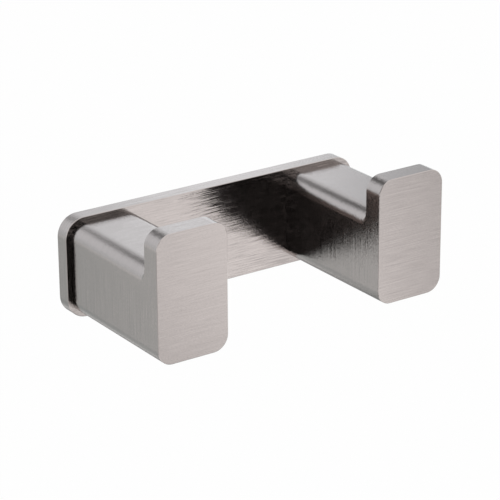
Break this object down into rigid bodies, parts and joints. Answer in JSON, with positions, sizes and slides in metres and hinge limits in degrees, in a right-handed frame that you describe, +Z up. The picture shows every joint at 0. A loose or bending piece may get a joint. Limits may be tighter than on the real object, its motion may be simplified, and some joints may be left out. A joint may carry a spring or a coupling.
{
  "type": "double robe hook",
  "caption": "Wall-mounted double robe hook: a low rounded cover plate on a slotted wall bracket, with broad arms of rounded rectangular section that end in upturned lips.",
  "frame": {"origin": "on the wall, at the middle of the wall bracket's and the cover plate's back, between the two slots", "axes": "+Z up; +Y into the wall, so the hooks stand out along -Y; +X along the plate, to the right as seen from the front"},
  "size_m": [0.11, 0.055, 0.0433],
  "materials": {
    "brushed_nickel": "brushed nickel plate on a zinc casting, satin",
    "zinc_plated_steel": "bright zinc plate on pressed and turned steel"
  },
  "bodies": {
    "root": {"cover_plate": "brushed_nickel", "left_hook": "brushed_nickel", "right_hook": "brushed_nickel", "wall_bracket": "zinc_plated_steel", "left_hook_upper_screw": "zinc_plated_steel", "left_hook_lower_screw": "zinc_plated_steel", "right_hook_upper_screw": "zinc_plated_steel", "right_hook_lower_screw": "zinc_plated_steel", "left_grub_screw": "zinc_plated_steel", "right_grub_screw": "zinc_plated_steel"}
  },
  "joints": []
}
